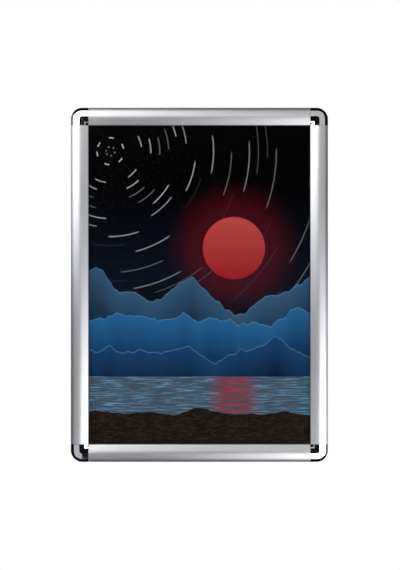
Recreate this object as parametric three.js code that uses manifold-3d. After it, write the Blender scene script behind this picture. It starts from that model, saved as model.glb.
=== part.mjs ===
// A snap frame for an A2 poster: four extruded rails whose front halves swing open on a hinge bead,
// bow springs that snap them shut past dead centre, and moulded corner caps with a round outer edge.
// Millimetres, +Z up. The origin is the middle of the wall plane and the picture faces -Y.
//
// A rail is drawn as a section: u runs from the frame's outer edge towards the picture, and v runs
// from the wall towards the viewer.
import * as THREE from "three";
import { mergeVertices } from "three/addons/utils/BufferGeometryUtils.js";
import Module from "manifold-3d";

// Poster and the layers in the pocket
const POSTER_WIDTH = 420;
const POSTER_HEIGHT = 594;
const POSTER_THICKNESS = 0.25;
const PANEL_THICKNESS = 1.5;
const SHEET_THICKNESS = 0.5;
const LAYER_GAP = 0.1;
const POCKET_CLEARANCE = 0.5;

// Rail section
const RAIL_WIDTH = 32;
const RAIL_DEPTH = 15;
const OVERLAP = 11;
const RIDGE_POSITION = 16;
const OUTER_SLOPE = 0.26;
const INNER_SLOPE = 0.29;
const RIDGE_SOFTNESS = 4.5;
const SHOULDER_RADIUS = 13;
const SHOULDER_TURN = 135;
const SKIN = 1.4;
const LIP_THICKNESS = 1.6;
const LIP_CLEARANCE = 0.3;
const NOSE_RADIUS = 1.2;

// Base rail
const PLATE = 1.4;
const SIDE_INSET = 0.6;
const FLANGE_SETBACK = 2.5;
const RIB_THICKNESS = 1.3;
const RIB_ABOVE_SHEET = 0.6;
const SLOT_LIP_THICKNESS = 0.8;
const NECK_LIP_REACH = 1.3;
const RIB_LIP_REACH = 1.4;

// Hinge
const BEAD_RADIUS = 1.3;
const HINGE_CLEARANCE = 0.25;
const SOCKET_WALL = 1.4;
const NECK_THICKNESS = 1.2;
const OPEN_ANGLE = 90;
const STOP_ANGLE = 8;

// Bow springs and their seat on the front rail
const SPRING_LENGTH = 50;
const SPRING_THICKNESS = 0.5;
const SPRING_BOW = 1.4;
const SPRING_CLEARANCE = 0.3;
const SPRING_INSET = 75;
const SPRING_PITCH = 260;
const SPRING_CORNER = 3;
const SEAT_ANGLE = -55;
const SEAT_LIFT = 0.15;
const SEAT_UPPER_HORN = 1.3;
const SEAT_LOWER_HORN = 0.9;
const SEAT_UPPER_ANGLE = 40;
const SEAT_LOWER_ANGLE = -150;
const SEAT_BACK = 0.9;

// Corner caps
const CORNER_RADIUS = 21;
const CAP_PROUD = 0.3;
const CAP_FLAT_START = 16;
const CAP_FLAT_END = 24.3;
const CAP_OUTER_SLOPE = 0.21;
const CAP_INNER_SLOPE = 0.6;
const CAP_SOFTNESS = 2;
const CAP_WALL = 1.8;
const CAP_ROOF = 1.8;
const CAP_CURTAIN = 1.6;
const SEAM = 0.3;
const BOSS_RADIUS = 3.4;
const BOSS_BORE_DEPTH = 7;

// Corner keys and fasteners
const KEY_THICKNESS = 2;
const KEY_GAP = 0.1;
const KEY_SIDE_GAP = 0.3;
const KEY_REACH = 40;
const KEY_LIP_GAP = 0.2;
const KEY_NOTCH_RADIUS = 3;
const SCREW_INSET = 22;
const GRUB_RADIUS = 2;
const GRUB_LENGTH = 4;
const GRUB_SOCKET = 1.1;
const GRUB_SOCKET_DEPTH = 1.8;
const CAP_SCREW_RADIUS = 1.45;
const CAP_SCREW_REACH = 6;
const CAP_SCREW_HEAD_RADIUS = 2.8;
const CAP_SCREW_HEAD_HEIGHT = 1.1;
const SCREW_SLOT_WIDTH = 0.7;
const SCREW_SLOT_DEPTH = 0.5;
const SCREW_CLEARANCE = 0.15;

// Holes for wall screws
const WALL_HOLE_RADIUS = 2.5;
const WALL_HOLE_INSET = 125;

// Facets
const CROWN_STEPS = 16;
const CORNER_STEPS = 10;
const CAP_ROUND_STEPS = 6;
const SMALL_ROUND = 20;
const TANGENT_STEPS = 30;
const CUT_MARGIN = 1;

const radians = THREE.MathUtils.degToRad;

// Sizes that follow from the ones above
const windowWidth = POSTER_WIDTH - 2 * OVERLAP;
const windowHeight = POSTER_HEIGHT - 2 * OVERLAP;
const frameWidth = windowWidth + 2 * RAIL_WIDTH;
const frameHeight = windowHeight + 2 * RAIL_WIDTH;

const panelBack = PLATE + LAYER_GAP;
const posterBack = panelBack + PANEL_THICKNESS + LAYER_GAP;
const sheetBack = posterBack + POSTER_THICKNESS + LAYER_GAP;
const sheetFront = sheetBack + SHEET_THICKNESS;
const lipBottom = sheetFront + LIP_CLEARANCE;

const keyBack = PLATE + KEY_GAP;
const keyFront = keyBack + KEY_THICKNESS;
const slotLipBack = keyFront + KEY_LIP_GAP;
const slotLipFront = slotLipBack + SLOT_LIP_THICKNESS;

const socketInside = BEAD_RADIUS + HINGE_CLEARANCE;
const socketOutside = socketInside + SOCKET_WALL;
const socketMiddle = socketInside + SOCKET_WALL / 2;
const ribInner = RAIL_WIDTH - OVERLAP - POCKET_CLEARANCE;
const ribOuter = ribInner - RIB_THICKNESS;

// A crown is flat between two places and falls away on both sides, softly at first.
function crown(flatStart, flatEnd, top, outerSlope, innerSlope, softness) {
  const beyond = (u) => (u < flatStart ? flatStart - u : Math.max(0, u - flatEnd));
  const fall = (u) => (u < flatStart ? outerSlope : innerSlope);
  const height = (u) => top - fall(u) * (Math.hypot(beyond(u), softness) - softness);
  const slope = (u) => Math.atan((fall(u) * beyond(u)) / Math.hypot(beyond(u), softness));
  return { height, slope };
}
const railCrown = crown(
  RIDGE_POSITION,
  RIDGE_POSITION,
  RAIL_DEPTH,
  OUTER_SLOPE,
  INNER_SLOPE,
  RIDGE_SOFTNESS,
);
const capCrown = crown(
  CAP_FLAT_START,
  CAP_FLAT_END,
  RAIL_DEPTH + CAP_PROUD,
  CAP_OUTER_SLOPE,
  CAP_INNER_SLOPE,
  CAP_SOFTNESS,
);

// A round of a given radius whose middle lies at a given u, tangent to a crown on one side of it.
function roundUnder({ height, slope }, radius, middle, side) {
  let touch = middle;
  for (let i = 0; i < TANGENT_STEPS; i++) {
    touch = middle + side * radius * Math.sin(slope(touch));
  }
  const centre = new THREE.Vector2(middle, height(touch) - radius * Math.cos(slope(touch)));
  return { touch, slope: slope(touch), centre };
}

// The outer edge has two rounds: a wide one under the crown and, past SHOULDER_TURN, a tight one
// round the hinge bead that meets the frame's outer edge.
const shoulderTurn = radians(SHOULDER_TURN);
const towardsEdge = new THREE.Vector2(Math.cos(shoulderTurn), Math.sin(shoulderTurn));
function outerEdge(profile) {
  const widening = SHOULDER_RADIUS - socketOutside;
  const wide = roundUnder(profile, SHOULDER_RADIUS, socketOutside - widening * towardsEdge.x, -1);
  return { wide, tightCentre: wide.centre.clone().addScaledVector(towardsEdge, widening) };
}
const shoulder = outerEdge(railCrown);
const capShoulder = outerEdge(capCrown);
const nose = roundUnder(railCrown, NOSE_RADIUS, RAIL_WIDTH - NOSE_RADIUS, 1);
const pivot = shoulder.tightCentre;

const neckOuter = pivot.x - NECK_THICKNESS / 2;
const neckInner = pivot.x + NECK_THICKNESS / 2;
const neckAngle = Math.asin(NECK_THICKNESS / 2 / socketInside);
const socketStart = -Math.PI / 2 + neckAngle + radians(STOP_ANGLE);
const socketEnd = (3 * Math.PI) / 2 - neckAngle - radians(STOP_ANGLE + OPEN_ANGLE);

const keyOuter = neckInner + KEY_SIDE_GAP;
const keyInner = ribOuter - KEY_SIDE_GAP;
const channelMiddle = (neckInner + ribOuter) / 2;

// A point at a distance and an angle in degrees from another.
function polar(from, distance, angle) {
  const a = radians(angle);
  return new THREE.Vector2(from.x + distance * Math.cos(a), from.y + distance * Math.sin(a));
}

// Each bow spring stands between the groove at the rib's foot and a seat on the front rail's socket.
// The seat passes the line from groove to hinge as the rail opens, which squeezes the bow flat.
const springFoot = new THREE.Vector2(
  ribOuter - SPRING_CLEARANCE,
  (PLATE + slotLipBack) / 2,
);
const seatRadius = socketOutside + SEAT_LIFT;
const seat = polar(pivot, seatRadius, SEAT_ANGLE);
const springSpan = springFoot.distanceTo(seat) - SPRING_CLEARANCE;

// Solids

const wasm = await Module();
wasm.setup();

function toSolid(geometry) {
  const bare = geometry.index ? geometry.toNonIndexed() : geometry.clone();
  bare.deleteAttribute("normal");
  bare.deleteAttribute("uv");
  const merged = mergeVertices(bare, 1e-4);
  const kept = [];
  for (let i = 0; i < merged.index.count; i += 3) {
    const corners = [0, 1, 2].map((k) => merged.index.getX(i + k));
    if (new Set(corners).size === 3) kept.push(...corners);
  }
  const mesh = new wasm.Mesh({
    numProp: 3,
    vertProperties: new Float32Array(merged.attributes.position.array),
    triVerts: new Uint32Array(kept),
  });
  return new wasm.Manifold(mesh);
}

function toGeometry(solid) {
  const mesh = solid.getMesh();
  const geometry = new THREE.BufferGeometry();
  geometry.setAttribute("position", new THREE.BufferAttribute(mesh.vertProperties, mesh.numProp));
  geometry.setIndex(new THREE.BufferAttribute(mesh.triVerts, 1));
  const flat = geometry.toNonIndexed();
  flat.computeVertexNormals();
  return flat;
}

// Turns a section drawn in (u, v) and extruded so that u points down, v points to the viewer and
// the length lies along X.
const fromSection = new THREE.Matrix4().makeBasis(
  new THREE.Vector3(0, 0, -1),
  new THREE.Vector3(0, -1, 0),
  new THREE.Vector3(-1, 0, 0),
);

function extrudeSection(shape, length) {
  const geometry = new THREE.ExtrudeGeometry(shape, {
    depth: length,
    bevelEnabled: false,
    curveSegments: SMALL_ROUND,
  });
  geometry.translate(0, 0, -length / 2);
  return geometry.applyMatrix4(fromSection);
}

// A round bar along Y, from one depth v to another, at (x, z).
function barAlongDepth(radius, back, front, x, z, sides = SMALL_ROUND) {
  const bar = new THREE.CylinderGeometry(radius, radius, front - back, sides);
  return bar.translate(x, -(back + front) / 2, z);
}

function boxBetween(low, high) {
  const size = new THREE.Vector3().subVectors(high, low);
  const middle = new THREE.Vector3().addVectors(low, high).multiplyScalar(0.5);
  return new THREE.BoxGeometry(size.x, size.y, size.z).translate(middle.x, middle.y, middle.z);
}

// Base rail: back plate with a flange under the panel, side wall, hinge bead on its neck, a rib that
// closes the poster pocket, and two lips that make the channel a slot for the corner keys.
function baseSection() {
  const beadJoin = Math.asin(NECK_THICKNESS / 2 / BEAD_RADIUS);
  const ribTop = sheetFront + RIB_ABOVE_SHEET;
  const flangeEnd = RAIL_WIDTH - FLANGE_SETBACK;
  const sideTop = pivot.y - socketOutside - HINGE_CLEARANCE;
  const shape = new THREE.Shape();
  shape.moveTo(SIDE_INSET, 0);
  shape.lineTo(flangeEnd, 0);
  shape.lineTo(flangeEnd, PLATE);
  shape.lineTo(ribInner, PLATE);
  shape.lineTo(ribInner, ribTop);
  shape.lineTo(ribOuter, ribTop);
  shape.lineTo(ribOuter, slotLipFront);
  shape.lineTo(ribOuter - RIB_LIP_REACH, slotLipFront);
  shape.lineTo(ribOuter - RIB_LIP_REACH, slotLipBack);
  shape.lineTo(ribOuter, slotLipBack);
  shape.lineTo(ribOuter, PLATE);
  shape.lineTo(neckInner, PLATE);
  shape.lineTo(neckInner, slotLipBack);
  shape.lineTo(neckInner + NECK_LIP_REACH, slotLipBack);
  shape.lineTo(neckInner + NECK_LIP_REACH, slotLipFront);
  shape.lineTo(neckInner, slotLipFront);
  shape.absarc(
    pivot.x,
    pivot.y,
    BEAD_RADIUS,
    -Math.PI / 2 + beadJoin,
    (3 * Math.PI) / 2 - beadJoin,
    false,
  );
  shape.lineTo(neckOuter, sideTop);
  shape.lineTo(SIDE_INSET, sideTop);
  shape.closePath();
  return shape;
}

function baseRail(length) {
  let rail = toSolid(extrudeSection(baseSection(), length));
  for (const side of [-1, 1]) {
    const x = side * (length / 2 - WALL_HOLE_INSET);
    const hole = barAlongDepth(WALL_HOLE_RADIUS, -CUT_MARGIN, PLATE + CUT_MARGIN, x, -channelMiddle);
    rail = rail.subtract(toSolid(hole));
  }
  return toGeometry(rail);
}

// Height of the skin's inside, which follows the wide round and then the crown.
function skinInside(u) {
  const { touch, centre } = shoulder.wide;
  if (u > touch) return railCrown.height(u) - SKIN;
  return centre.y + Math.sqrt((SHOULDER_RADIUS - SKIN) ** 2 - (centre.x - u) ** 2);
}

// Front rail: a crowned skin that runs from the round shoulder to a lip over the poster's edge.
function skinSection() {
  const { height } = railCrown;
  const { wide } = shoulder;
  const start = pivot.x;
  const lipInner = RAIL_WIDTH - LIP_THICKNESS;
  const lipRound = LIP_THICKNESS / 2;
  const root = pivot.clone().addScaledVector(towardsEdge, socketMiddle);
  const shape = new THREE.Shape();
  shape.moveTo(root.x, root.y);
  for (let i = 0; i <= CROWN_STEPS; i++) {
    const u = start + ((lipInner - start) * i) / CROWN_STEPS;
    shape.lineTo(u, skinInside(u));
  }
  shape.lineTo(lipInner, lipBottom + lipRound);
  shape.absarc(lipInner + lipRound, lipBottom + lipRound, lipRound, Math.PI, 2 * Math.PI, false);
  shape.absarc(nose.centre.x, nose.centre.y, NOSE_RADIUS, 0, Math.PI / 2 - nose.slope, false);
  for (let i = CROWN_STEPS - 1; i > 0; i--) {
    const u = wide.touch + ((nose.touch - wide.touch) * i) / CROWN_STEPS;
    shape.lineTo(u, height(u));
  }
  shape.absarc(
    wide.centre.x,
    wide.centre.y,
    SHOULDER_RADIUS,
    Math.PI / 2 + wide.slope,
    shoulderTurn,
    false,
  );
  shape.closePath();
  return shape;
}

// The socket wraps round the bead. It stops short of the neck at both ends of the rail's travel.
function socketSection() {
  const shape = new THREE.Shape();
  shape.absarc(pivot.x, pivot.y, socketOutside, socketStart, socketEnd, false);
  shape.absarc(pivot.x, pivot.y, socketInside, socketEnd, socketStart, true);
  shape.closePath();
  return shape;
}

// A shallow notch between two horns, where the bow spring presses.
function seatSection() {
  const startAngle = THREE.MathUtils.radToDeg(socketStart);
  const upper = polar(seat, SEAT_UPPER_HORN, SEAT_UPPER_ANGLE);
  return new THREE.Shape([
    polar(pivot, socketMiddle, startAngle),
    polar(pivot, socketOutside, startAngle),
    polar(seat, SEAT_LOWER_HORN, SEAT_LOWER_ANGLE),
    seat,
    upper,
    new THREE.Vector2(upper.x, upper.y + SEAT_BACK),
    polar(pivot, socketMiddle, 0),
  ]);
}

function frontRail(length) {
  const [skin, socket, notch] = [skinSection(), socketSection(), seatSection()].map((section) =>
    toSolid(extrudeSection(section, length)),
  );
  return toGeometry(skin.add(socket).add(notch));
}

// Bow spring: a strip of spring steel, bowed towards the wall between its two long edges.
function springSection() {
  const along = new THREE.Vector2().subVectors(seat, springFoot).normalize();
  const across = new THREE.Vector2(along.y, -along.x);
  const at = (share, offset) => {
    const sag = SPRING_BOW * 4 * share * (1 - share);
    return springFoot
      .clone()
      .addScaledVector(along, springSpan * share)
      .addScaledVector(across, offset - sag * Math.sign(across.y));
  };
  const steps = SMALL_ROUND / 2;
  const half = SPRING_THICKNESS / 2;
  const points = [];
  for (let i = 0; i <= steps; i++) points.push(at(i / steps, half));
  for (let i = steps; i >= 0; i--) points.push(at(i / steps, -half));
  return new THREE.Shape(points);
}

function bowSpring() {
  let strip = toSolid(extrudeSection(springSection(), SPRING_LENGTH));
  for (const side of [-1, 1]) {
    const cut = new THREE.CylinderGeometry(
      SPRING_CORNER,
      SPRING_CORNER,
      RAIL_DEPTH,
      4,
    ).translate((side * SPRING_LENGTH) / 2, -RAIL_DEPTH / 2, -seat.x);
    strip = strip.subtract(toSolid(cut));
  }
  return toGeometry(strip);
}

function springPlaces(length) {
  const span = length - 2 * SPRING_INSET;
  const gaps = Math.max(1, Math.ceil(span / SPRING_PITCH));
  return Array.from({ length: gaps + 1 }, (_, i) => -span / 2 + (span * i) / gaps);
}

// Corner pieces are drawn for the top left corner, with the outer corner of the frame at the origin.
// A section is swept along the outline: straight, round the corner and straight. Past the middle of
// the corner's round it turns at a mitre.
function cornerPoint(station, depth, reach) {
  if (station === 0) return new THREE.Vector2(reach, depth);
  if (station === CORNER_STEPS + 2) return new THREE.Vector2(depth, reach);
  if (depth >= CORNER_RADIUS) return new THREE.Vector2(depth, depth);
  const turn = (((station - 1) / CORNER_STEPS) * Math.PI) / 2;
  const radius = CORNER_RADIUS - depth;
  return new THREE.Vector2(
    CORNER_RADIUS - radius * Math.sin(turn),
    CORNER_RADIUS - radius * Math.cos(turn),
  );
}

function sweepCorner(section, reach) {
  const positions = [];
  const vertex = (station, k) => {
    const { x: u, y: v } = section[k % section.length];
    const p = cornerPoint(station, u, reach);
    return [p.x, -v, -p.y];
  };
  const last = CORNER_STEPS + 2;
  for (let s = 0; s < last; s++) {
    for (let k = 0; k < section.length; k++) {
      const [a, b, c, d] = [vertex(s, k), vertex(s, k + 1), vertex(s + 1, k + 1), vertex(s + 1, k)];
      positions.push(...a, ...b, ...c, ...a, ...c, ...d);
    }
  }
  for (const [i, j, k] of THREE.ShapeUtils.triangulateShape(section, [])) {
    positions.push(...vertex(0, i), ...vertex(0, k), ...vertex(0, j));
    positions.push(...vertex(last, i), ...vertex(last, j), ...vertex(last, k));
  }
  const geometry = new THREE.BufferGeometry();
  geometry.setAttribute("position", new THREE.Float32BufferAttribute(positions, 3));
  return geometry;
}

// Points on a round from SHOULDER_TURN to the crown, for the cap's outside and inside.
function shoulderPoints(radius, steps) {
  const { wide } = capShoulder;
  const crownTurn = Math.PI / 2 + wide.slope;
  return Array.from({ length: steps + 1 }, (_, i) => {
    const angle = shoulderTurn + ((crownTurn - shoulderTurn) * i) / steps;
    const around = new THREE.Vector2(Math.cos(angle), Math.sin(angle));
    return wide.centre.clone().addScaledVector(around, radius);
  });
}

function crownPoints(end, drop, steps) {
  const { touch } = capShoulder.wide;
  return Array.from({ length: steps }, (_, i) => {
    const u = touch + ((end - touch) * (i + 1)) / steps;
    return new THREE.Vector2(u, capCrown.height(u) - drop);
  });
}

// The cap's outside in section: side wall, the rail's two rounds and the crown, a little proud of
// the rails.
function capOutside() {
  const { tightCentre } = capShoulder;
  const points = [new THREE.Vector2(0, 0)];
  for (let i = 0; i < CAP_ROUND_STEPS; i++) {
    const angle = Math.PI + ((shoulderTurn - Math.PI) * i) / CAP_ROUND_STEPS;
    const around = new THREE.Vector2(Math.cos(angle), Math.sin(angle));
    points.push(tightCentre.clone().addScaledVector(around, socketOutside));
  }
  points.push(
    ...shoulderPoints(SHOULDER_RADIUS, CAP_ROUND_STEPS),
    ...crownPoints(RAIL_WIDTH, 0, CROWN_STEPS),
    new THREE.Vector2(RAIL_WIDTH, 0),
  );
  return points.reverse();
}

function capHollow() {
  const end = RAIL_WIDTH - CAP_CURTAIN;
  const points = [
    new THREE.Vector2(CAP_WALL, -CUT_MARGIN),
    new THREE.Vector2(CAP_WALL, capShoulder.tightCentre.y),
    ...shoulderPoints(SHOULDER_RADIUS - CAP_ROOF, CAP_ROUND_STEPS / 2),
    ...crownPoints(end, CAP_ROOF, CROWN_STEPS / 2),
    new THREE.Vector2(end, -CUT_MARGIN),
  ];
  return points.reverse();
}

function capUnderside() {
  const end = RAIL_WIDTH + CUT_MARGIN;
  return [
    new THREE.Vector2(CAP_WALL, -CUT_MARGIN),
    new THREE.Vector2(end, -CUT_MARGIN),
    new THREE.Vector2(end, lipBottom),
    new THREE.Vector2(CAP_WALL, lipBottom),
  ];
}

// The cap's screw stands on the diagonal, where the key is widest.
const keyArcMiddle = CORNER_RADIUS - (CORNER_RADIUS - keyOuter) * Math.SQRT1_2;
const capScrewPlace = (keyArcMiddle + keyInner) / 2;
const bossBack = keyFront + KEY_GAP;

function cornerCap() {
  const boss = barAlongDepth(BOSS_RADIUS, bossBack, RAIL_DEPTH, capScrewPlace, -capScrewPlace);
  const bore = barAlongDepth(
    CAP_SCREW_RADIUS + SCREW_CLEARANCE,
    bossBack - CUT_MARGIN,
    bossBack + BOSS_BORE_DEPTH,
    capScrewPlace,
    -capScrewPlace,
  );
  const inside = toSolid(sweepCorner(capHollow(), RAIL_WIDTH - CAP_CURTAIN))
    .add(toSolid(sweepCorner(capUnderside(), RAIL_WIDTH + CUT_MARGIN)))
    .subtract(toSolid(boss));
  const cap = toSolid(sweepCorner(capOutside(), RAIL_WIDTH))
    .subtract(inside)
    .subtract(toSolid(bore));
  return toGeometry(cap);
}

// Corner key: a flat steel angle whose legs slide into the slots of both base rails.
function cornerKey() {
  const reach = RAIL_WIDTH + KEY_REACH;
  const outer = CORNER_RADIUS;
  const shape = new THREE.Shape();
  shape.moveTo(reach, -keyInner);
  shape.lineTo(reach, -keyOuter);
  shape.lineTo(outer, -keyOuter);
  shape.absarc(outer, -outer, outer - keyOuter, Math.PI / 2, Math.PI, false);
  shape.lineTo(keyOuter, -reach);
  shape.lineTo(keyInner, -reach);
  shape.lineTo(keyInner, -keyInner - KEY_NOTCH_RADIUS);
  shape.absarc(
    keyInner + KEY_NOTCH_RADIUS,
    -keyInner - KEY_NOTCH_RADIUS,
    KEY_NOTCH_RADIUS,
    Math.PI,
    Math.PI / 2,
    true,
  );
  shape.closePath();
  const plate = new THREE.ExtrudeGeometry(shape, {
    depth: KEY_THICKNESS,
    bevelEnabled: false,
    curveSegments: CORNER_STEPS,
  });
  plate.rotateX(Math.PI / 2).translate(0, -keyBack, 0);
  let key = toSolid(plate);
  const holes = [
    [keyScrewPlaces[0], GRUB_RADIUS],
    [keyScrewPlaces[1], GRUB_RADIUS],
    [new THREE.Vector2(capScrewPlace, capScrewPlace), CAP_SCREW_RADIUS],
  ];
  for (const [place, radius] of holes) {
    const hole = barAlongDepth(
      radius + SCREW_CLEARANCE,
      keyBack - CUT_MARGIN,
      keyFront + CUT_MARGIN,
      place.x,
      -place.y,
    );
    key = key.subtract(toSolid(hole));
  }
  return toGeometry(key);
}

const keyScrewPlaces = [
  new THREE.Vector2(RAIL_WIDTH + SCREW_INSET, channelMiddle),
  new THREE.Vector2(channelMiddle, RAIL_WIDTH + SCREW_INSET),
];

// Grub screw with a hexagon socket: it bears on the base plate and lifts the key against the lips.
function grubScrew(place) {
  const back = PLATE + KEY_GAP;
  const front = back + GRUB_LENGTH;
  const body = barAlongDepth(GRUB_RADIUS, back, front, place.x, -place.y);
  const hexagon = barAlongDepth(
    GRUB_SOCKET,
    front - GRUB_SOCKET_DEPTH,
    front + CUT_MARGIN,
    place.x,
    -place.y,
    6,
  );
  return toGeometry(toSolid(body).subtract(toSolid(hexagon)));
}

// Pan head screw from behind, through the key and up into the cap's boss.
function capScrew() {
  const underHead = keyBack - SCREW_CLEARANCE;
  const headBack = underHead - CAP_SCREW_HEAD_HEIGHT;
  const tip = bossBack + CAP_SCREW_REACH;
  const profile = [
    [0, headBack],
    [CAP_SCREW_HEAD_RADIUS - SCREW_SLOT_DEPTH, headBack],
    [CAP_SCREW_HEAD_RADIUS, headBack + SCREW_SLOT_DEPTH],
    [CAP_SCREW_HEAD_RADIUS, underHead],
    [CAP_SCREW_RADIUS, underHead],
    [CAP_SCREW_RADIUS, tip - CAP_SCREW_RADIUS],
    [0, tip],
  ].map(([r, v]) => new THREE.Vector2(r, v));
  const turned = new THREE.LatheGeometry(profile, SMALL_ROUND)
    .rotateX(Math.PI)
    .translate(capScrewPlace, 0, -capScrewPlace);
  let screw = toSolid(turned);
  for (const angle of [45, 135]) {
    const slot = new THREE.BoxGeometry(
      2 * CAP_SCREW_HEAD_RADIUS - 4 * SCREW_SLOT_DEPTH,
      2 * SCREW_SLOT_DEPTH,
      SCREW_SLOT_WIDTH,
    )
      .rotateY(radians(angle))
      .translate(capScrewPlace, -headBack, -capScrewPlace);
    screw = screw.subtract(toSolid(slot));
  }
  return toGeometry(screw);
}

function layer(width, height, back, thickness) {
  return boxBetween(
    new THREE.Vector3(-width / 2, -back - thickness, -height / 2),
    new THREE.Vector3(width / 2, -back, height / 2),
  );
}

// Finishes
const anodised = new THREE.MeshStandardMaterial({ color: 0xc9cacd, roughness: 0.35, metalness: 1 });
const raw = new THREE.MeshStandardMaterial({ color: 0xb4b6b9, roughness: 0.45, metalness: 1 });
const chrome = new THREE.MeshStandardMaterial({ color: 0xe8e9ec, roughness: 0.06, metalness: 1 });
const zinc = new THREE.MeshStandardMaterial({ color: 0xa9adb0, roughness: 0.4, metalness: 1 });
const springSteel = new THREE.MeshStandardMaterial({ color: 0x4a5360, roughness: 0.4, metalness: 1 });
const darkSteel = new THREE.MeshStandardMaterial({ color: 0x26272a, roughness: 0.45, metalness: 1 });
const whitePanel = new THREE.MeshStandardMaterial({ color: 0xeceded, roughness: 0.6, metalness: 0 });
const print = new THREE.MeshStandardMaterial({ color: 0x0b0c10, roughness: 0.7, metalness: 0 });
const clearSheet = new THREE.MeshStandardMaterial({
  color: 0xffffff,
  roughness: 0.15,
  metalness: 0,
  transparent: true,
  opacity: 0.1,
});

function mesh(name, geometry, material) {
  const made = new THREE.Mesh(geometry, material);
  made.name = name;
  return made;
}

// Assembly

const snapFrame = new THREE.Group();

// One side is built as a top rail whose outer edge lies at z = 0, then turned into place.
const sides = [
  { name: "top", length: windowWidth, offset: frameHeight / 2, turn: 0 },
  { name: "right", length: windowHeight, offset: frameWidth / 2, turn: 90 },
  { name: "bottom", length: windowWidth, offset: frameHeight / 2, turn: 180 },
  { name: "left", length: windowHeight, offset: frameWidth / 2, turn: -90 },
];
for (const { name, length, offset, turn } of sides) {
  const side = new THREE.Group();
  side.rotation.y = radians(turn);
  const rails = new THREE.Group();
  rails.position.z = offset;
  side.add(rails);
  const cutLength = length - 2 * SEAM;
  rails.add(mesh(`base_rail_${name}`, baseRail(cutLength), raw));
  rails.add(mesh(`front_rail_${name}`, frontRail(cutLength), anodised));
  springPlaces(length).forEach((x, i) => {
    const spring = mesh(`spring_${name}_${i + 1}`, bowSpring(), springSteel);
    spring.position.x = x;
    rails.add(spring);
  });
  snapFrame.add(side);
}

// The corners are a quarter turn apart, so only the place of each one's outer corner differs.
const corners = [
  { name: "top_left", x: -1, z: 1, turn: 0 },
  { name: "top_right", x: 1, z: 1, turn: 90 },
  { name: "bottom_right", x: 1, z: -1, turn: 180 },
  { name: "bottom_left", x: -1, z: -1, turn: -90 },
];
for (const { name, x, z, turn } of corners) {
  const corner = new THREE.Group();
  corner.position.set((x * frameWidth) / 2, 0, (z * frameHeight) / 2);
  corner.rotation.y = radians(turn);
  corner.add(mesh(`corner_cap_${name}`, cornerCap(), chrome));
  corner.add(mesh(`corner_key_${name}`, cornerKey(), zinc));
  corner.add(mesh(`cap_screw_${name}`, capScrew(), darkSteel));
  keyScrewPlaces.forEach((place, i) => {
    corner.add(mesh(`grub_screw_${name}_${i + 1}`, grubScrew(place), darkSteel));
  });
  snapFrame.add(corner);
}

// Pocket
snapFrame.add(
  mesh("back_panel", layer(POSTER_WIDTH, POSTER_HEIGHT, panelBack, PANEL_THICKNESS), whitePanel),
);
snapFrame.add(
  mesh("poster", layer(POSTER_WIDTH, POSTER_HEIGHT, posterBack, POSTER_THICKNESS), print),
);
snapFrame.add(
  mesh("cover_sheet", layer(POSTER_WIDTH, POSTER_HEIGHT, sheetBack, SHEET_THICKNESS), clearSheet),
);

export default snapFrame;
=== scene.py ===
"""A snap frame for a poster: satin aluminium rails, chrome caps, a generic night landscape."""
import math

import bmesh
import bpy
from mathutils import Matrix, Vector


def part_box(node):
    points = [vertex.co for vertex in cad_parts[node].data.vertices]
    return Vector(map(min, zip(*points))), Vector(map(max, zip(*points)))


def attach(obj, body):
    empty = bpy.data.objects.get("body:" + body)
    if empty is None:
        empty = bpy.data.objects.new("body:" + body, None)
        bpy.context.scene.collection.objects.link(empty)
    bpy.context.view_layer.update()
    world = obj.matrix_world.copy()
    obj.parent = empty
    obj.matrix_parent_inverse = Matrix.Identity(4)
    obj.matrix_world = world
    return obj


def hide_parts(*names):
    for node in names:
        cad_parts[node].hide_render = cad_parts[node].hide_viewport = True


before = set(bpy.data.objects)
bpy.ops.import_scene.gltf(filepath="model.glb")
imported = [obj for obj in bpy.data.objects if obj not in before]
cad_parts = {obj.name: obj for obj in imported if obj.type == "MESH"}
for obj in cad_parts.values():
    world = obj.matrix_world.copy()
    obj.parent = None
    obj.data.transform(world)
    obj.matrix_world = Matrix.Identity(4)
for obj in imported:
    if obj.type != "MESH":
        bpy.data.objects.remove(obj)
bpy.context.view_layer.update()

MM = 0.001

# Outside of the frame and its section, as in the solids
FRAME_WIDTH = 462 * MM
FRAME_HEIGHT = 636 * MM
RAIL_WIDTH = 32 * MM
CORNER_RADIUS = 21 * MM
LIP_BOTTOM = 4.25 * MM
SHOULDER_RADIUS = 13 * MM
SHOULDER_TURN = math.radians(135)
EDGE_RADIUS = 2.95 * MM

# Corner caps: each one's name and its side of the frame in X and Z, then the moulding's sizes
CORNERS = (
    ("top_left", -1, 1),
    ("top_right", 1, 1),
    ("bottom_right", 1, -1),
    ("bottom_left", -1, -1),
)
CAP_TOP = 15.3 * MM
CAP_FLAT_START = 16 * MM
CAP_FLAT_END = 24.3 * MM
CAP_OUTER_SLOPE = 0.21
CAP_INNER_SLOPE = 0.6
CAP_SOFTNESS = 2 * MM
CAP_WALL = 1.8 * MM
CAP_EDGE_ROUND = 0.4 * MM
CAP_SMOOTH_ANGLE = math.radians(12)
CAP_ARC_STEPS = 36
CAP_ROUND_STEPS = 14
CAP_CROWN_STEPS = 44
TANGENT_STEPS = 30
BOSS_RADIUS = 3.4 * MM
BOSS_BACK = 3.6 * MM
BOSS_SIDES = 32

# Edges: welding, rounding and smooth shading
WELD_DISTANCE = 0.001 * MM
EDGE_ROUND = 0.15 * MM
ROUND_SEGMENTS = 2
ROUND_ANGLE = math.radians(40)
SMOOTH_ANGLE = math.radians(28)

# View: picture size, scale at the frame's face, and the pixel at the frame's centre
IMAGE_WIDTH = 400
IMAGE_HEIGHT = 570
METRES_PER_PIXEL = 1.79 * MM
CENTRE_PIXEL = (199.4, 284.8)
CAMERA_DISTANCE = 2.6
SENSOR = 36

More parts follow.
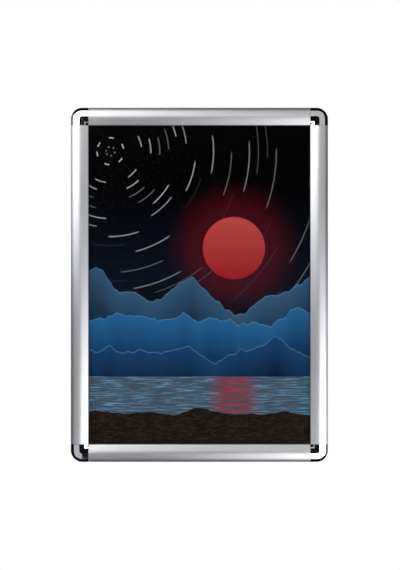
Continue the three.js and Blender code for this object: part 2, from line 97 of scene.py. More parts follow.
# Materials: the span that most of a noise's values fill, and what noises do to the aluminium
NOISE_SPAN = (0.3, 0.7)
LINE_SQUEEZE = 130
LINE_GLOSS = 0.02
CLOUD_GLOSS = 0.01
CLOUD_SHADE = 0.965
FINE_SHARE = 0.5

# Aluminium of the front and of the base rails: colour, roughness and strength of the lines
FRONT_METAL = ((0.80, 0.802, 0.81), 0.3, 0.08)
BASE_METAL = ((0.66, 0.665, 0.675), 0.36, 0.25)

# Colours of the picture, from its back to its front
NIGHT = (0.0002, 0.00025, 0.0004)
DUSK = (0.003, 0.006, 0.014)
CRIMSON = (0.33, 0.012, 0.02)
CRIMSON_LIGHT = (0.52, 0.07, 0.06)
OFF_WHITE = (0.68, 0.69, 0.66)
PALE_BLUE = (0.12, 0.30, 0.48)
STEEL = (0.058, 0.093, 0.125)
BROWN = (0.011, 0.0075, 0.0055)
BROWN_LIGHT = tuple(part * 4 for part in BROWN)

# Softness of the line between two colours, and the heights from night to dusk in the sky
PRINT_EDGE = 0.6 * MM
SKY_SPAN = (0.2, -0.03)

# Star trails: their pole, the rings to a metre, the parts of a ring's width and length that
# shine, each with its softness, and how the light fades from the pole outwards
POLE = (-0.16, 0.24)
RINGS_PER_METRE = 62
RING_VARIETY = 7.31
TRAIL_WIDTH = (0.44, 0.56, 0.03)
TRAIL_LENGTH = (0.1, 0.42, 0.015)
TRAILS_PER_RADIAN = 0.9
TRAIL_SHIFT = 9
TRAIL_CHANCE = (0.4, 0.6)
TRAIL_FADE = (0.03, 0.3, 1.0, 0.25)
TRAIL_STRENGTH = 0.75

# Sun and the glow round it
SUN_CENTRE = (0.062, 0.066)
SUN_RADIUS = 0.056
GLOW_REACH = 2.3
GLOW_STRENGTH = 0.16

# Ridge lines: middle height, spread, peaks to a metre, seed, colour at the crest and below it
RIDGES = (
    (-0.012, 0.17, 7.0, 3.7, (0.035, 0.10, 0.19), (0.012, 0.035, 0.07)),
    (-0.062, 0.13, 9.0, 11.3, (0.020, 0.13, 0.32), (0.006, 0.04, 0.11)),
    (-0.118, 0.10, 11.0, 23.1, (0.010, 0.055, 0.15), (0.003, 0.014, 0.04)),
)
RIDGE_FADE = 0.07
RIDGE_EDGE = 0.5 * MM
RIM_WIDTH = 1.6 * MM
RIM_STRENGTH = 0.55

# Lake and the bank in front of it: middle height, spread, bumps to a metre and seed
SHORE = -0.165
STREAK_STRETCH = (7, 1, 150)
SUN_PATH = (0.015, 0.055)
SUN_PATH_STRENGTH = 0.8
BANK = (-0.232, 0.05, 6.0, 41.9)

# Studio: lit panels above left and below right of the camera and grey cards in the other two
# quarters, with cards between them that go over from one brightness to the next
FLOOR_HEIGHT = -1.3
FLOOR_SIZE = 4.8
FLOOR_GLOW = 0.35
FILL_LEVEL = 0.7
PANEL_DISTANCE = 2.45
PANEL_SIDE = 3.5
PANEL_TOP = 2.4
PANEL_RADIANCE = 1.8
LIT_START = (0.34, 0.32)
GREY_START = (0.2, 0.24)
GREY_SIDE = 2.2
GREY_UPPER = 0.43
GREY_MIDDLE = 0.44
GREY_FADE = 1.2
GREY_LOWER = 0.2
FADE_ABOVE = (-0.2, 0.13)
FADE_BELOW = (-0.12, 0.34)
FADE_LEFT = (-0.02, 0.36)

# Cards in front of those, a step or two nearer: dark ones for the camera and its stand, paler
# ones far out for the caps, and ones beside the camera for the gentle slopes of the rails
CARD_STEP = 0.025
DARK_LEVEL = 0.004
DARK_CARD = (0.5, 0.67)
STAND = (-0.44, -0.37)
CORNER_START = (0.46, 0.56)
CORNER_LEVEL = 0.48
NEAR_END = 1.25
NEAR_SIDE = 0.38
NEAR_ABOVE = 3.9
NEAR_BELOW = 2.2
NEAR_LEFT = 2.0
FADE_NEAR_LEFT = (-0.12, 0.32)

# Dark cards at the sides of the studio, and the tints of the cards
LIT_SIDE_LEVEL = 0.15
DARK_SIDE_END = 1.5
NEUTRAL = (1.0, 1.0, 1.0)
COOL = (0.94, 1.0, 1.07)
VIOLET = (1.0, 0.995, 1.06)


# Materials

class Shader:
    """A material's node tree, with short ways to add the nodes used here."""

    def __init__(self, name):
        self.material = bpy.data.materials.new(name)
        self.material.use_nodes = True
        self.tree = self.material.node_tree
        self.surface = self.tree.nodes["Principled BSDF"]

    def feed(self, socket, value):
        if isinstance(value, bpy.types.NodeSocket):
            self.tree.links.new(value, socket)
        else:
            socket.default_value = value

    def add(self, kind, settings=None, **inputs):
        node = self.tree.nodes.new(kind)
        for key, value in (settings or {}).items():
            setattr(node, key, value)
        for key, value in inputs.items():
            self.feed(node.inputs[key.replace("_", " ")], value)
        return node

    def set(self, **inputs):
        for key, value in inputs.items():
            self.feed(self.surface.inputs[key.replace("_", " ")], value)

    def math(self, operation, a, b=0.0):
        node = self.add("ShaderNodeMath", {"operation": operation})
        self.feed(node.inputs[0], a)
        self.feed(node.inputs[1], b)
        return node.outputs[0]

    def place(self, scale=(1, 1, 1)):
        """Each point in the piece's own coordinates, scaled along the axes."""
        point = self.add("ShaderNodeTexCoord").outputs["Object"]
        return self.add("ShaderNodeMapping", Vector=point, Scale=scale).outputs[0]

    def distance(self, x, z, centre):
        """How far each point is from a centre, seen from the front."""
        parts = (self.math("SUBTRACT", x, centre[0]), self.math("SUBTRACT", z, centre[1]))
        squares = [self.math("MULTIPLY", part, part) for part in parts]
        return self.math("SQRT", self.math("ADD", *squares))

    def noise(self, vector, scale, detail=3.0, roughness=0.5):
        return self.add(
            "ShaderNodeTexNoise", Vector=vector, Scale=scale, Detail=detail, Roughness=roughness
        ).outputs["Fac"]

    def noise_along(self, position, scale, detail, roughness=0.5):
        """A noise that changes with one number only."""
        return self.add(
            "ShaderNodeTexNoise", {"noise_dimensions": "1D"},
            W=position, Scale=scale, Detail=detail, Roughness=roughness,
        ).outputs["Fac"]

    def range(self, value, low, high, to_low=0.0, to_high=1.0, smooth=False):
        """A value taken from one range to another, and held at its ends."""
        kind = "SMOOTHSTEP" if smooth else "LINEAR"
        node = self.add("ShaderNodeMapRange", {"interpolation_type": kind})
        sockets = ("Value", "From Min", "From Max", "To Min", "To Max")
        for socket, number in zip(sockets, (value, low, high, to_low, to_high)):
            self.feed(node.inputs[socket], number)
        return node.outputs["Result"]

    def band(self, value, low, high, soft):
        """One between two limits and zero outside them, with soft edges."""
        inside = self.range(value, low - soft, low + soft, smooth=True)
        outside = self.range(value, high - soft, high + soft, 1.0, 0.0, smooth=True)
        return self.math("MULTIPLY", inside, outside)

    def mix(self, factor, a, b):
        node = self.add("ShaderNodeMix", {"data_type": "RGBA"})
        self.feed(node.inputs["Factor"], factor)
        for socket, colour in ((node.inputs[6], a), (node.inputs[7], b)):
            self.feed(socket, (*colour, 1) if isinstance(colour, tuple) else colour)
        return node.outputs[2]

    def bump(self, height, strength, depth):
        return self.add(
            "ShaderNodeBump", Height=height, Strength=strength, Distance=depth
        ).outputs["Normal"]


def extruded_aluminium(name, along, colour, roughness, line_strength):
    """Metal with faint lines along the way it was extruded, X or Z."""
    shader = Shader(name)
    squeeze = tuple(1 if axis == along else LINE_SQUEEZE for axis in "XYZ")
    lines = shader.noise(shader.place(squeeze), scale=5, detail=3, roughness=0.6)
    cloud = shader.noise(shader.place(), scale=9, detail=4, roughness=0.6)
    fine = shader.noise(shader.place(), scale=2600, detail=2)
    grain = shader.add("ShaderNodeCombineXYZ", **{along: 1.0}).outputs[0]
    darker = tuple(part * CLOUD_SHADE for part in colour)
    streaks = shader.range(lines, *NOISE_SPAN, roughness - LINE_GLOSS, roughness + LINE_GLOSS)
    blotches = shader.range(cloud, *NOISE_SPAN, -CLOUD_GLOSS, CLOUD_GLOSS)
    relief = shader.math("ADD", lines, shader.math("MULTIPLY", fine, FINE_SHARE))
    shader.set(
        Metallic=0.93,
        Base_Color=shader.mix(shader.range(cloud, *NOISE_SPAN), darker, colour),
        Roughness=shader.math("ADD", streaks, blotches),
        Anisotropic=0.9,
        Anisotropic_Rotation=0.25,
        Tangent=grain,
        Normal=shader.bump(relief, line_strength, depth=0.02 * MM),
    )
    return shader.material


def chrome_plating():
    """Mirror-like metal with faint smudges and a slight ripple."""
    shader = Shader("chrome_plating")
    smudge = shader.noise(shader.place(), scale=55, detail=5, roughness=0.6)
    ripple = shader.noise(shader.place(), scale=160, detail=2)
    shader.set(
        Metallic=1.0,
        Base_Color=shader.mix(smudge, (0.86, 0.865, 0.88), (0.93, 0.935, 0.945)),
        Roughness=shader.range(smudge, 0.35, 0.75, 0.03, 0.07),
        Normal=shader.bump(ripple, strength=0.06, depth=0.04 * MM),
    )
    return shader.material


def plated_steel(name, dark, light, roughness, spangle):
    """Zinc, blued or blackened steel: a mottled plating over fine scratches."""
    shader = Shader(name)
    mottle = shader.noise(shader.place(), scale=spangle, detail=4, roughness=0.6)
    scratch = shader.noise(shader.place((1, 1, 14)), scale=700, detail=3, roughness=0.7)
    plating = shader.range(mottle, *NOISE_SPAN, roughness - 0.06, roughness + 0.06)
    shader.set(
        Metallic=1.0,
        Base_Color=shader.mix(shader.range(mottle, 0.35, 0.65), dark, light),
        Roughness=shader.math("ADD", plating, shader.range(scratch, 0.5, 0.8, 0.0, 0.12)),
        Normal=shader.bump(scratch, strength=0.25, depth=0.03 * MM),
    )
    return shader.material


def white_sheet_plastic():
    """White plastic with a fine grain and a hint of clouding."""
    shader = Shader("white_sheet_plastic")
    grain = shader.noise(shader.place(), scale=1500, detail=3, roughness=0.6)
    cloud = shader.noise(shader.place(), scale=7, detail=3)
    shader.set(
        Base_Color=shader.mix(cloud, (0.76, 0.765, 0.77), (0.82, 0.82, 0.82)),
        Roughness=shader.range(grain, *NOISE_SPAN, 0.42, 0.58),
        Normal=shader.bump(grain, strength=0.2, depth=0.05 * MM),
    )
    return shader.material


def clear_cover():
    """Clear anti-glare plastic: a faint tint and a soft grain. Its gloss is on the print behind."""
    shader = Shader("clear_cover")
    grain = shader.noise(shader.place(), scale=1800, detail=2)
    shader.set(
        Base_Color=(0.004, 0.004, 0.005, 1),
        Alpha=0.05,
        Roughness=shader.range(grain, *NOISE_SPAN, 0.14, 0.2),
        Specular_IOR_Level=0.0,
        Normal=shader.bump(grain, strength=0.03, depth=0.02 * MM),
    )
    return shader.material


# Picture

def contour(shader, x, middle, spread, pitch, seed):
    """Height of a jagged skyline along the width of the picture."""
    noise = shader.noise_along(shader.math("ADD", x, seed), pitch, detail=5.0, roughness=0.48)
    return shader.range(noise, 0, 1, middle - spread / 2, middle + spread / 2)


def star_trails(shader, x, z):
    """Brightness of the trails: rings about the pole, each broken up at its own angles."""
    far = shader.distance(x, z, POLE)
    ring = shader.math("MULTIPLY", far, RINGS_PER_METRE)
    number = shader.math("FLOOR", ring)
    chance = shader.noise_along(shader.math("MULTIPLY", number, RING_VARIETY), 1.0, detail=0.0)
    up = shader.math("SUBTRACT", z, POLE[1])
    across = shader.math("SUBTRACT", x, POLE[0])
    steps = shader.math("MULTIPLY", shader.math("ARCTAN2", up, across), TRAILS_PER_RADIAN)
    shifted = shader.math("ADD", steps, shader.math("MULTIPLY", chance, TRAIL_SHIFT))
    trail = shader.band(shader.math("FRACT", ring), *TRAIL_WIDTH)
    for factor in (
        shader.band(shader.math("FRACT", shifted), *TRAIL_LENGTH),
        shader.range(chance, *TRAIL_CHANCE),
        shader.range(far, *TRAIL_FADE),
        TRAIL_STRENGTH,
    ):
        trail = shader.math("MULTIPLY", trail, factor)
    return trail


def add_sun(shader, x, z, colour):
    """A glow, and over it a disc that is lighter at the top."""
    far = shader.distance(x, z, SUN_CENTRE)
    glow = shader.range(far, SUN_RADIUS, SUN_RADIUS * GLOW_REACH, GLOW_STRENGTH, 0.0, smooth=True)
    colour = shader.mix(glow, colour, CRIMSON)
    low, high = SUN_CENTRE[1] - SUN_RADIUS, SUN_CENTRE[1] + SUN_RADIUS
    face = shader.mix(shader.range(z, low, high), CRIMSON, CRIMSON_LIGHT)
    inner, outer = SUN_RADIUS - PRINT_EDGE, SUN_RADIUS + PRINT_EDGE
    return shader.mix(shader.range(far, inner, outer, 1.0, 0.0, smooth=True), colour, face)


def add_ridges(shader, x, z, colour):
    """Ridges one in front of the other, each darker below its crest and with a pale rim."""
    for middle, spread, pitch, seed, crest, foot in RIDGES:
        below = shader.math("SUBTRACT", contour(shader, x, middle, spread, pitch, seed), z)
        slope = shader.mix(shader.range(below, 0, RIDGE_FADE), crest, foot)
        rim = shader.math("MULTIPLY", shader.band(below, 0, RIM_WIDTH, RIDGE_EDGE), RIM_STRENGTH)
        mask = shader.range(below, -RIDGE_EDGE, RIDGE_EDGE, smooth=True)
        colour = shader.mix(mask, colour, shader.mix(rim, slope, PALE_BLUE))
    return colour


def add_lake(shader, x, z, colour):
    """Dark water with pale streaks, red ones under the sun."""
    streaks = shader.noise(shader.place(STREAK_STRETCH), scale=3.2, detail=4, roughness=0.6)
    water = shader.mix(shader.range(streaks, 0.5, 0.62, smooth=True), STEEL, PALE_BLUE)
    aside = shader.math("ABSOLUTE", shader.math("SUBTRACT", x, SUN_CENTRE[0]))
    under_sun = shader.range(aside, *SUN_PATH, 1.0, 0.0, smooth=True)
    red = shader.math("MULTIPLY", under_sun, shader.range(streaks, 0.42, 0.55, smooth=True))
    water = shader.mix(shader.math("MULTIPLY", red, SUN_PATH_STRENGTH), water, CRIMSON)
    low, high = SHORE - PRINT_EDGE, SHORE + PRINT_EDGE
    return shader.mix(shader.range(z, low, high, 1.0, 0.0, smooth=True), colour, water)


def add_bank(shader, x, z, colour):
    """A dark bank with a paler grain."""
    below = shader.math("SUBTRACT", contour(shader, x, *BANK), z)
    grain = shader.noise(shader.place((1, 1, 3)), scale=90, detail=5, roughness=0.65)
    earth = shader.mix(shader.range(grain, 0.45, 0.8), BROWN, BROWN_LIGHT)
    return shader.mix(shader.range(below, -PRINT_EDGE, PRINT_EDGE, smooth=True), colour, earth)


def poster_print():
    """Night landscape: star trails, a crimson sun, three ridges, a pale lake and a dark bank."""
    shader = Shader("poster_print")
    point = shader.place()
    x, _, z = shader.add("ShaderNodeSeparateXYZ", Vector=point).outputs
    colour = shader.mix(shader.range(z, *SKY_SPAN, smooth=True), NIGHT, DUSK)
    colour = shader.mix(star_trails(shader, x, z), colour, OFF_WHITE)
    for add_part in (add_sun, add_ridges, add_lake, add_bank):
        colour = add_part(shader, x, z, colour)
    coat = shader.noise(point, scale=900, detail=2)
    shader.set(
        Base_Color=colour,
        Roughness=shader.range(coat, *NOISE_SPAN, 0.14, 0.2),
        Specular_IOR_Level=0.06,
        Normal=shader.bump(coat, strength=0.05, depth=0.02 * MM),
    )
    return shader.material


# Shapes

def soften_group(name, widest):
    """A modifier that shades smoothly over every edge flatter than an angle, by the shape alone."""
    group = bpy.data.node_groups.new(name, "GeometryNodeTree")
    for direction in ("INPUT", "OUTPUT"):
        group.interface.new_socket(
            "Geometry", in_out=direction, socket_type="NodeSocketGeometry"
        )
    new = group.nodes.new
    start = new("NodeGroupInput")
    end = new("NodeGroupOutput")
    bare = new("GeometryNodeRemoveAttribute")
    bare.inputs["Name"].default_value = "custom_normal"
    faces = new("GeometryNodeSetShadeSmooth")
    edges = new("GeometryNodeSetShadeSmooth")
    edges.domain = "EDGE"
    edges.inputs["Shade Smooth"].default_value = False
    angle = new("GeometryNodeInputMeshEdgeAngle")
    sharp = new("FunctionNodeCompare")
    sharp.operation = "GREATER_THAN"
    sharp.inputs[1].default_value = widest
    link = group.links.new
    link(angle.outputs["Unsigned Angle"], sharp.inputs[0])
    link(sharp.outputs[0], edges.inputs["Selection"])
    link(start.outputs[0], bare.inputs["Geometry"])
    link(bare.outputs[0], faces.inputs["Geometry"])
    link(faces.outputs[0], edges.inputs["Geometry"])
    link(edges.outputs[0], end.inputs[0])
    return group


SOFTEN = soften_group("soften", SMOOTH_ANGLE)
SOFTEN_CAP = soften_group("soften_cap", CAP_SMOOTH_ANGLE)


def finish_edges(obj, width, soften=SOFTEN):
    """Weld, round the sharp edges if they have a width, and shade the rest evenly."""
    obj.modifiers.new("weld", "WELD").merge_threshold = WELD_DISTANCE
    if width:
        bevel = obj.modifiers.new("edge_round", "BEVEL")
        bevel.width = width
        bevel.segments = ROUND_SEGMENTS
        bevel.limit_method = "ANGLE"
        bevel.angle_limit = ROUND_ANGLE
        bevel.use_clamp_overlap = True
    obj.modifiers.new("soften", "NODES").node_group = soften
    obj.modifiers.new("even_shading", "WEIGHTED_NORMAL").keep_sharp = True


def cap_height(u):
    """Height of the cap's crown at a distance from the frame's outside."""
    if u < CAP_FLAT_START:
        beyond, fall = CAP_FLAT_START - u, CAP_OUTER_SLOPE
    else:
        beyond, fall = max(0.0, u - CAP_FLAT_END), CAP_INNER_SLOPE
    return CAP_TOP - fall * (math.hypot(beyond, CAP_SOFTNESS) - CAP_SOFTNESS)


def cap_slope(u):
    """Angle at which the crown falls towards the frame's outside."""
    beyond = max(0.0, CAP_FLAT_START - u)
    return math.atan(CAP_OUTER_SLOPE * beyond / math.hypot(beyond, CAP_SOFTNESS))


def arc(centre, radius, start, end, steps):
    """Points of an arc, both its ends among them."""
    angles = [start + (end - start) * i / steps for i in range(steps + 1)]
    return [(centre[0] + radius * math.cos(a), centre[1] + radius * math.sin(a)) for a in angles]


def cap_section():
    """The cap's outside from the wall, over its tight and its wide round, to the inner edge."""
    widening = SHOULDER_RADIUS - EDGE_RADIUS
    middle = EDGE_RADIUS - widening * math.cos(SHOULDER_TURN)
    touch = middle
    for _ in range(TANGENT_STEPS):
        touch = middle - SHOULDER_RADIUS * math.sin(cap_slope(touch))
    wide = (middle, cap_height(touch) - SHOULDER_RADIUS * math.cos(cap_slope(touch)))
    tight = (EDGE_RADIUS, wide[1] + widening * math.sin(SHOULDER_TURN))
    crown_turn = math.pi / 2 + cap_slope(touch)
    points = [(0.0, 0.0), (0.0, tight[1] / 2)]
    points += arc(tight, EDGE_RADIUS, math.pi, SHOULDER_TURN, CAP_ROUND_STEPS)
    points += arc(wide, SHOULDER_RADIUS, SHOULDER_TURN, crown_turn, CAP_ROUND_STEPS)[1:]
    for i in range(1, CAP_CROWN_STEPS + 1):
        u = touch + (RAIL_WIDTH - touch) * i / CAP_CROWN_STEPS
        points.append((u, cap_height(u)))
    return points


def cap_rows(section):
    """The section swept along the outline: straight, round the corner, straight."""
    rows = [[(RAIL_WIDTH, u, v) for u, v in section]]
    for i in range(CAP_ARC_STEPS + 1):
        turn = math.pi / 2 * i / CAP_ARC_STEPS
        row = []
        for u, v in section:
            radius = max(0.0, CORNER_RADIUS - u)
            centre = max(CORNER_RADIUS, u)
            row.append((centre - radius * math.sin(turn), centre - radius * math.cos(turn), v))
        rows.append(row)
    rows.append([(u, RAIL_WIDTH, v) for u, v in section])
    return rows


def add_boss(bm, corner):
    """The tube for the cap's screw, from its foot up into the roof. Its wall comes later."""
    low, high = (Vector(point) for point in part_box(f"cap_screw_{corner}"))
    middle = (low + high) / 2
    foot, head = [], []
    for i in range(BOSS_SIDES):
        turn = 2 * math.pi * i / BOSS_SIDES
        x = middle.x + BOSS_RADIUS * math.cos(turn)
        z = middle.z + BOSS_RADIUS * math.sin(turn)
        across = CORNER_RADIUS - (FRAME_WIDTH / 2 - abs(x))
        along = CORNER_RADIUS - (FRAME_HEIGHT / 2 - abs(z))
        roof = cap_height(CORNER_RADIUS - math.hypot(across, along)) - CAP_WALL / 2
        foot.append(bm.verts.new((x, -BOSS_BACK, z)))
        head.append(bm.verts.new((x, -roof, z)))
    for i in range(BOSS_SIDES):
        j = (i + 1) % BOSS_SIDES
        bm.faces.new((foot[i], foot[j], head[j], head[i]))


def add_skin(bm, right, up):
    """The cap's outside, with a wall at each end from the crown down to the lip."""
    rows = []
    for row in cap_rows(cap_section()):
        rows.append([
            bm.verts.new((right * (FRAME_WIDTH / 2 - a), -v, up * (FRAME_HEIGHT / 2 - b)))
            for a, b, v in row
        ])
    for row, following in zip(rows, rows[1:]):
        for k in range(len(row) - 1):
            bm.faces.new((row[k], following[k], following[k + 1], row[k + 1]))
    for end in (rows[0], rows[-1]):
        above = [vert for vert in end if -vert.co.y > LIP_BOTTOM]
        low = [bm.verts.new((vert.co.x, -LIP_BOTTOM, vert.co.z)) for vert in above]
        for k in range(len(above) - 1):
            bm.faces.new((above[k], above[k + 1], low[k + 1], low[k]))


def face_outwards(bm):
    """Join doubled vertices and turn every face outwards."""
    bmesh.ops.remove_doubles(bm, verts=bm.verts, dist=WELD_DISTANCE)
    bmesh.ops.recalc_face_normals(bm, faces=bm.faces)
    top = max(bm.faces, key=lambda face: -face.calc_center_median().y)
    if top.normal.y > 0:
        bmesh.ops.reverse_faces(bm, faces=bm.faces)


def corner_cap(name, right, up):
    """A hollow moulding: outside skin, two end walls and a boss, thickened inwards."""
    bm = bmesh.new()
    add_skin(bm, right, up)
    face_outwards(bm)
    add_boss(bm, name)
    mesh = bpy.data.meshes.new(f"cap_{name}")
    bm.to_mesh(mesh)
    bm.free()
    cap = bpy.data.objects.new(f"cap_{name}", mesh)
    bpy.context.scene.collection.objects.link(cap)
    shell = cap.modifiers.new("wall", "SOLIDIFY")
    shell.thickness = CAP_WALL
    shell.offset = -1
    finish_edges(cap, CAP_EDGE_ROUND, SOFTEN_CAP)
    return cap


def add_caps(material):
    """Four caps of even wall, each in place of the plain solid of its corner."""
    for name, right, up in CORNERS:
        cap = corner_cap(name, right, up)
        cap.data.materials.append(material)
        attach(cap, "frame")
        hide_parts(f"corner_cap_{name}")


# Carried-over solids

def solid_finishes():
    """Material and width of the rounded edges, by the start of a solid's name."""
    front_across = extruded_aluminium("anodised_across", "X", *FRONT_METAL)
    front_upright = extruded_aluminium("anodised_upright", "Z", *FRONT_METAL)
    base_across = extruded_aluminium("plain_across", "X", *BASE_METAL)
    base_upright = extruded_aluminium("plain_upright", "Z", *BASE_METAL)
    black = plated_steel("black_steel", (0.02, 0.02, 0.022), (0.05, 0.05, 0.053), 0.4, 900)
    blued = plated_steel("blued_steel", (0.05, 0.07, 0.12), (0.12, 0.13, 0.16), 0.32, 120)
    zinc = plated_steel("zinc_plate", (0.48, 0.5, 0.5), (0.66, 0.67, 0.66), 0.36, 260)
    return {
        "front_rail_top": (front_across, EDGE_ROUND),
        "front_rail_bottom": (front_across, EDGE_ROUND),
        "front_rail_left": (front_upright, EDGE_ROUND),
        "front_rail_right": (front_upright, EDGE_ROUND),
        "base_rail_top": (base_across, EDGE_ROUND),
        "base_rail_bottom": (base_across, EDGE_ROUND),
        "base_rail_left": (base_upright, EDGE_ROUND),
        "base_rail_right": (base_upright, EDGE_ROUND),
        "spring_": (blued, 0),
        "corner_key": (zinc, EDGE_ROUND),
        "cap_screw": (black, 0),
        "grub_screw": (black, 0),
        "back_panel": (white_sheet_plastic(), EDGE_ROUND),
        "poster": (poster_print(), 0),
        "cover_sheet": (clear_cover(), 0),
    }


def paint_nodes(finishes):
    """Give each carried-over solid the material and edge width of the start of its name."""
    for name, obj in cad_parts.items():
        for prefix, (material, width) in finishes.items():
            if name.startswith(prefix):
                obj.data.materials.clear()
                obj.data.materials.append(material)
                finish_edges(obj, width)


# Studio

def add_camera():
    """A camera square to the frame's face, with the picture's height filled at its scale."""
    camera = bpy.data.objects.new("camera", bpy.data.cameras.new("camera"))
    bpy.context.scene.collection.objects.link(camera)
    right = (IMAGE_WIDTH / 2 - CENTRE_PIXEL[0]) * METRES_PER_PIXEL
    up = (CENTRE_PIXEL[1] - IMAGE_HEIGHT / 2) * METRES_PER_PIXEL
    camera.location = (right, -CAMERA_DISTANCE - CAP_TOP, up)
    camera.rotation_euler = (math.pi / 2, 0, 0)
    camera.data.sensor_width = SENSOR
    camera.data.lens = SENSOR * CAMERA_DISTANCE / (IMAGE_HEIGHT * METRES_PER_PIXEL)
    bpy.context.scene.camera = camera


def add_world():
    """White to the camera, in reflections and through glass, and a softer fill for the rest."""
    world = bpy.data.worlds.new("studio")
    bpy.context.scene.world = world
    world.use_nodes = True
    nodes, link = world.node_tree.nodes, world.node_tree.links.new
    nodes.clear()
    path = nodes.new("ShaderNodeLightPath")
    seen = path.outputs["Is Camera Ray"]
    for ray in ("Is Glossy Ray", "Is Transmission Ray"):
        either = nodes.new("ShaderNodeMath")
        either.operation = "MAXIMUM"
        link(seen, either.inputs[0])
        link(path.outputs[ray], either.inputs[1])
        seen = either.outputs[0]
    level = nodes.new("ShaderNodeMapRange")
    level.inputs["To Min"].default_value = FILL_LEVEL
    link(seen, level.inputs["Value"])
    background = nodes.new("ShaderNodeBackground")
    background.inputs["Color"].default_value = (1, 1, 1, 1)
    link(level.outputs["Result"], background.inputs["Strength"])
    output = nodes.new("ShaderNodeOutputWorld")
    link(background.outputs[0], output.inputs[0])


def add_panel(name, right, up):
    """A soft light that fills one quarter of the space in front, as the frame sees it."""
    width, height = PANEL_SIDE - LIT_START[0], PANEL_TOP - LIT_START[1]
    lamp = bpy.data.lights.new(name, "AREA")
    lamp.shape = "RECTANGLE"
    lamp.size = width
    lamp.size_y = height
    lamp.energy = PANEL_RADIANCE * math.pi * width * height
    obj = bpy.data.objects.new(name, lamp)
    bpy.context.scene.collection.objects.link(obj)
    x = right * (LIT_START[0] + width / 2)
    z = up * (LIT_START[1] + height / 2)
    obj.location = (x, -PANEL_DISTANCE, z)
    obj.rotation_euler = (math.pi / 2, 0, 0)


def glow_material(name, tint, levels, axis, span):
    """A glow that goes over from the first level to the last along an axis."""
    shader = Shader(name)
    shader.tree.nodes.remove(shader.surface)
    glow = shader.add("ShaderNodeEmission", Color=(*tint, 1))
    point = shader.add("ShaderNodeTexCoord").outputs["Object"]
    along = shader.add("ShaderNodeSeparateXYZ", Vector=point).outputs[axis]
    shader.feed(glow.inputs["Strength"], shader.range(along, *span, levels[0], levels[-1]))
    shader.feed(shader.tree.nodes["Material Output"].inputs["Surface"], glow.outputs[0])
    return shader.material


def add_card(name, corners, tint, levels, axis="X", span=(0, 1)):
    """A flat card that only reflections see."""
    mesh = bpy.data.meshes.new(name)
    mesh.from_pydata(corners, [], [(0, 1, 2, 3)])
    mesh.materials.append(glow_material(name, tint, levels, axis, span))
    card = bpy.data.objects.new(name, mesh)
    bpy.context.scene.collection.objects.link(card)
    card.visible_camera = False
    card.visible_diffuse = False
    card.visible_transmission = False
    card.visible_shadow = False


def facing(low, high, steps):
    """Corners of an upright card in front of the frame, some steps nearer than the panels."""
    y = steps * CARD_STEP - PANEL_DISTANCE
    return [(low[0], y, low[1]), (high[0], y, low[1]), (high[0], y, high[1]), (low[0], y, high[1])]


def add_far_cards():
    """The grey quarters and the cards that go over from one quarter to the next."""
    lit_x, lit_z = LIT_START
    grey_x, grey_z = GREY_START
    side, top = PANEL_SIDE, PANEL_TOP
    lit, upper, middle, lower = PANEL_RADIANCE, GREY_UPPER, GREY_MIDDLE, GREY_LOWER
    cards = (
        ("upper_right", (grey_x, grey_z), (GREY_SIDE, top), COOL, (middle, upper), "X",
         (grey_x, GREY_FADE)),
        ("lower_left", (-GREY_SIDE, -top), (-grey_x, -grey_z), COOL, (lower,), "X", (0, 1)),
        ("above", (-lit_x, lit_z), (grey_x, top), NEUTRAL, (lit, middle), "X", FADE_ABOVE),
        ("below", (-grey_x, -top), (lit_x, -lit_z), VIOLET, (lower, lit), "X", FADE_BELOW),
        ("right", (lit_x, -lit_z), (side, grey_z), VIOLET, (lit, upper), "Z", (-lit_z, grey_z)),
        ("left", (-side, -grey_z), (-lit_x, lit_z), COOL, (lower, lit), "Z", FADE_LEFT),
    )
    for name, low, high, *look in cards:
        add_card(f"card_{name}", facing(low, high, 0), *look)


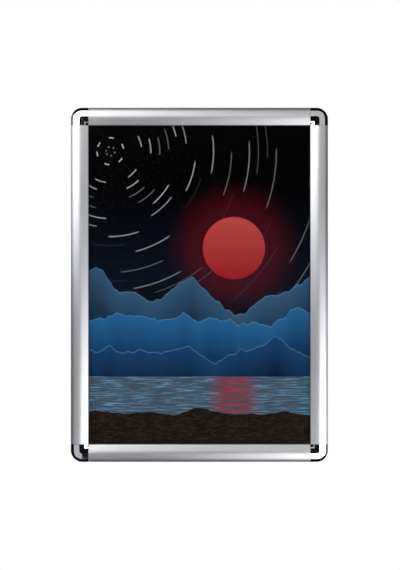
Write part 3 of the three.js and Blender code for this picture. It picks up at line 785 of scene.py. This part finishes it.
def add_near_cards():
    """Dark cards for the camera and its stand, and the pale ones round them."""
    lit_x, lit_z = LIT_START
    width, height = DARK_CARD
    far_x, far_z = CORNER_START
    left, right = STAND
    lit, dark, corner = PANEL_RADIANCE, (DARK_LEVEL,), (CORNER_LEVEL,)
    above, below = GREY_MIDDLE * NEAR_ABOVE, GREY_LOWER * NEAR_BELOW
    cards = (
        ("camera", (-width, -height), (width, height), 2, NEUTRAL, dark),
        ("stand", (left, -PANEL_TOP), (right, -height), 2, NEUTRAL, dark),
        ("corner_left", (-GREY_SIDE, -PANEL_TOP), (-far_x, -far_z), 1, COOL, corner),
        ("corner_right", (NEAR_SIDE, far_z), (GREY_SIDE, PANEL_TOP), 1, NEUTRAL, corner),
        ("near_left", (-NEAR_END, -far_z), (-width, lit_z), 2, COOL,
         (GREY_LOWER * NEAR_LEFT, lit), "Z", FADE_NEAR_LEFT),
        ("near_above", (-lit_x, height), (NEAR_SIDE, NEAR_END), 2, NEUTRAL,
         (lit, above), "X", FADE_ABOVE),
        ("near_below", (-GREY_START[0], -NEAR_END), (lit_x, -height), 2, VIOLET,
         (below, lit), "X", FADE_BELOW),
    )
    for name, low, high, steps, *look in cards:
        add_card(f"card_{name}", facing(low, high, steps), *look)


def add_side_cards():
    """Dark cards that close each quarter of the space in front, at its side and above or below."""
    front, back = -PANEL_DISTANCE, DARK_SIDE_END
    for right in (-1, 1):
        for up in (-1, 1):
            lit = right * up < 0
            level = LIT_SIDE_LEVEL if lit else DARK_LEVEL
            name = f"{'right' if right > 0 else 'left'}_{'up' if up > 0 else 'down'}"
            x = right * (PANEL_SIDE if lit else GREY_SIDE)
            z = up * PANEL_TOP
            beside = [(x, front, 0), (x, back, 0), (x, back, z), (x, front, z)]
            across = [(0, front, z), (x, front, z), (x, back, z), (0, back, z)]
            add_card(f"card_side_{name}", beside, NEUTRAL, (level,))
            add_card(f"card_edge_{name}", across, NEUTRAL, (DARK_LEVEL,))


def add_floor():
    """A pale floor, lightened for the camera alone."""
    half, z = FLOOR_SIZE / 2, FLOOR_HEIGHT
    corners = [(-half, -half, z), (half, -half, z), (half, half, z), (-half, half, z)]
    mesh = bpy.data.meshes.new("floor")
    mesh.from_pydata(corners, [], [(0, 1, 2, 3)])
    shader = Shader("floor")
    grain = shader.noise(shader.place(), scale=40, detail=4)
    seen = shader.add("ShaderNodeLightPath").outputs["Is Camera Ray"]
    shader.set(
        Base_Color=shader.mix(grain, (0.78, 0.78, 0.78), (0.82, 0.82, 0.82)),
        Roughness=0.8,
        Emission_Color=(1, 1, 1, 1),
        Emission_Strength=shader.math("MULTIPLY", seen, FLOOR_GLOW),
    )
    mesh.materials.append(shader.material)
    floor = bpy.data.objects.new("floor", mesh)
    bpy.context.scene.collection.objects.link(floor)
    floor.visible_glossy = False
    floor.visible_shadow = False


def add_studio():
    """White surroundings, two soft lights, the cards that the metal reflects, and a floor."""
    add_world()
    add_panel("panel_upper_left", -1, 1)
    add_panel("panel_lower_right", 1, -1)
    add_far_cards()
    add_near_cards()
    add_side_cards()
    add_floor()
    bpy.context.scene.view_settings.view_transform = "Standard"


add_camera()
add_studio()
add_caps(chrome_plating())
paint_nodes(solid_finishes())
